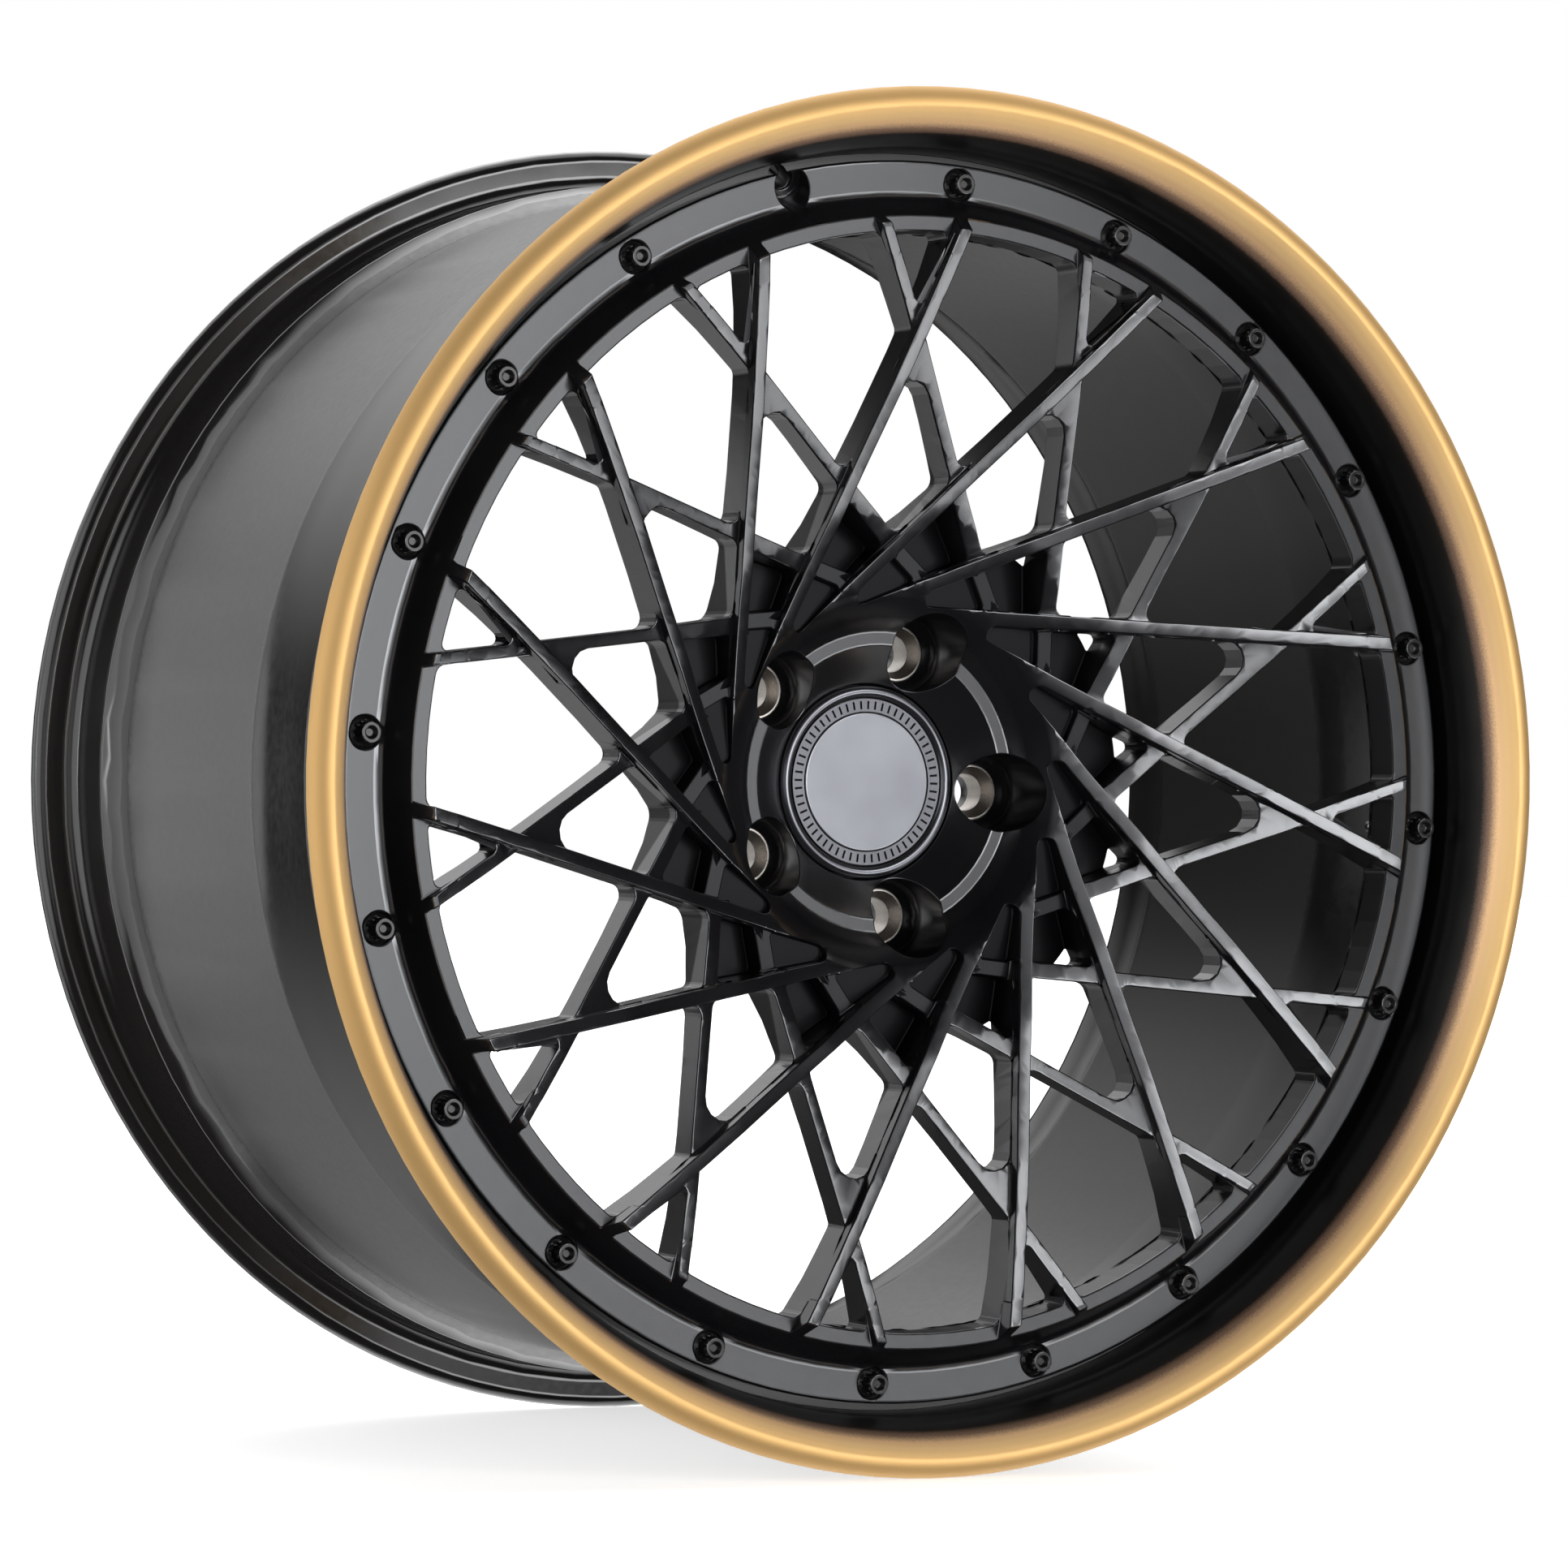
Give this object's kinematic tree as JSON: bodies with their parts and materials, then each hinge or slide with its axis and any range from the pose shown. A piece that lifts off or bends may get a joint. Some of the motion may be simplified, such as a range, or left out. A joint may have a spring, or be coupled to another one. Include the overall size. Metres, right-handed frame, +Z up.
{
  "type": "forged racing wheel rim",
  "caption": "Three-piece forged racing wheel: mesh-spoke bolted centre, gold outer lip, black inner barrel, rim bolts and pull-off centre cap.",
  "frame": {"origin": "wheel centre, on the axle line, half way between the two tyre flanges", "axes": "+Y along the axle line towards the car (the street face looks along -Y), +Z up"},
  "size_m": [0.543, 0.3048, 0.543],
  "materials": {
    "satin_black": "satin black paint on forged aluminium",
    "gold_lip": "satin gold fading to black inwards",
    "gloss_black": "gloss black",
    "sealant": "cured sealant",
    "black_steel": "gloss black steel",
    "zinc_steel": "zinc plated",
    "bare_metal": "machined bare metal",
    "black_plastic": "moulded plastic",
    "cap_metal": "satin grey anodised",
    "spring_wire": "bright spring steel",
    "gasket": "foam rubber"
  },
  "bodies": {
    "wheel": {"centre_disc": "satin_black", "outer_lip": "gold_lip", "inner_barrel": "gloss_black", "seam_sealant": "sealant", "rim_bolts": "black_steel", "rim_washers": "zinc_steel", "rim_nuts": "zinc_steel", "lug_inserts": "bare_metal"},
    "cap": {"cap_body": "black_plastic", "cap_bezel": "cap_metal", "cap_tick_ring": "cap_metal", "cap_disc": "cap_metal", "cap_spring": "spring_wire", "cap_gasket": "gasket"}
  },
  "joints": [
    {"name": "cap_pull", "type": "slide", "parent": "wheel", "child": "cap", "axis": [0, -1, 0], "range_m": [0, 0.06]}
  ]
}
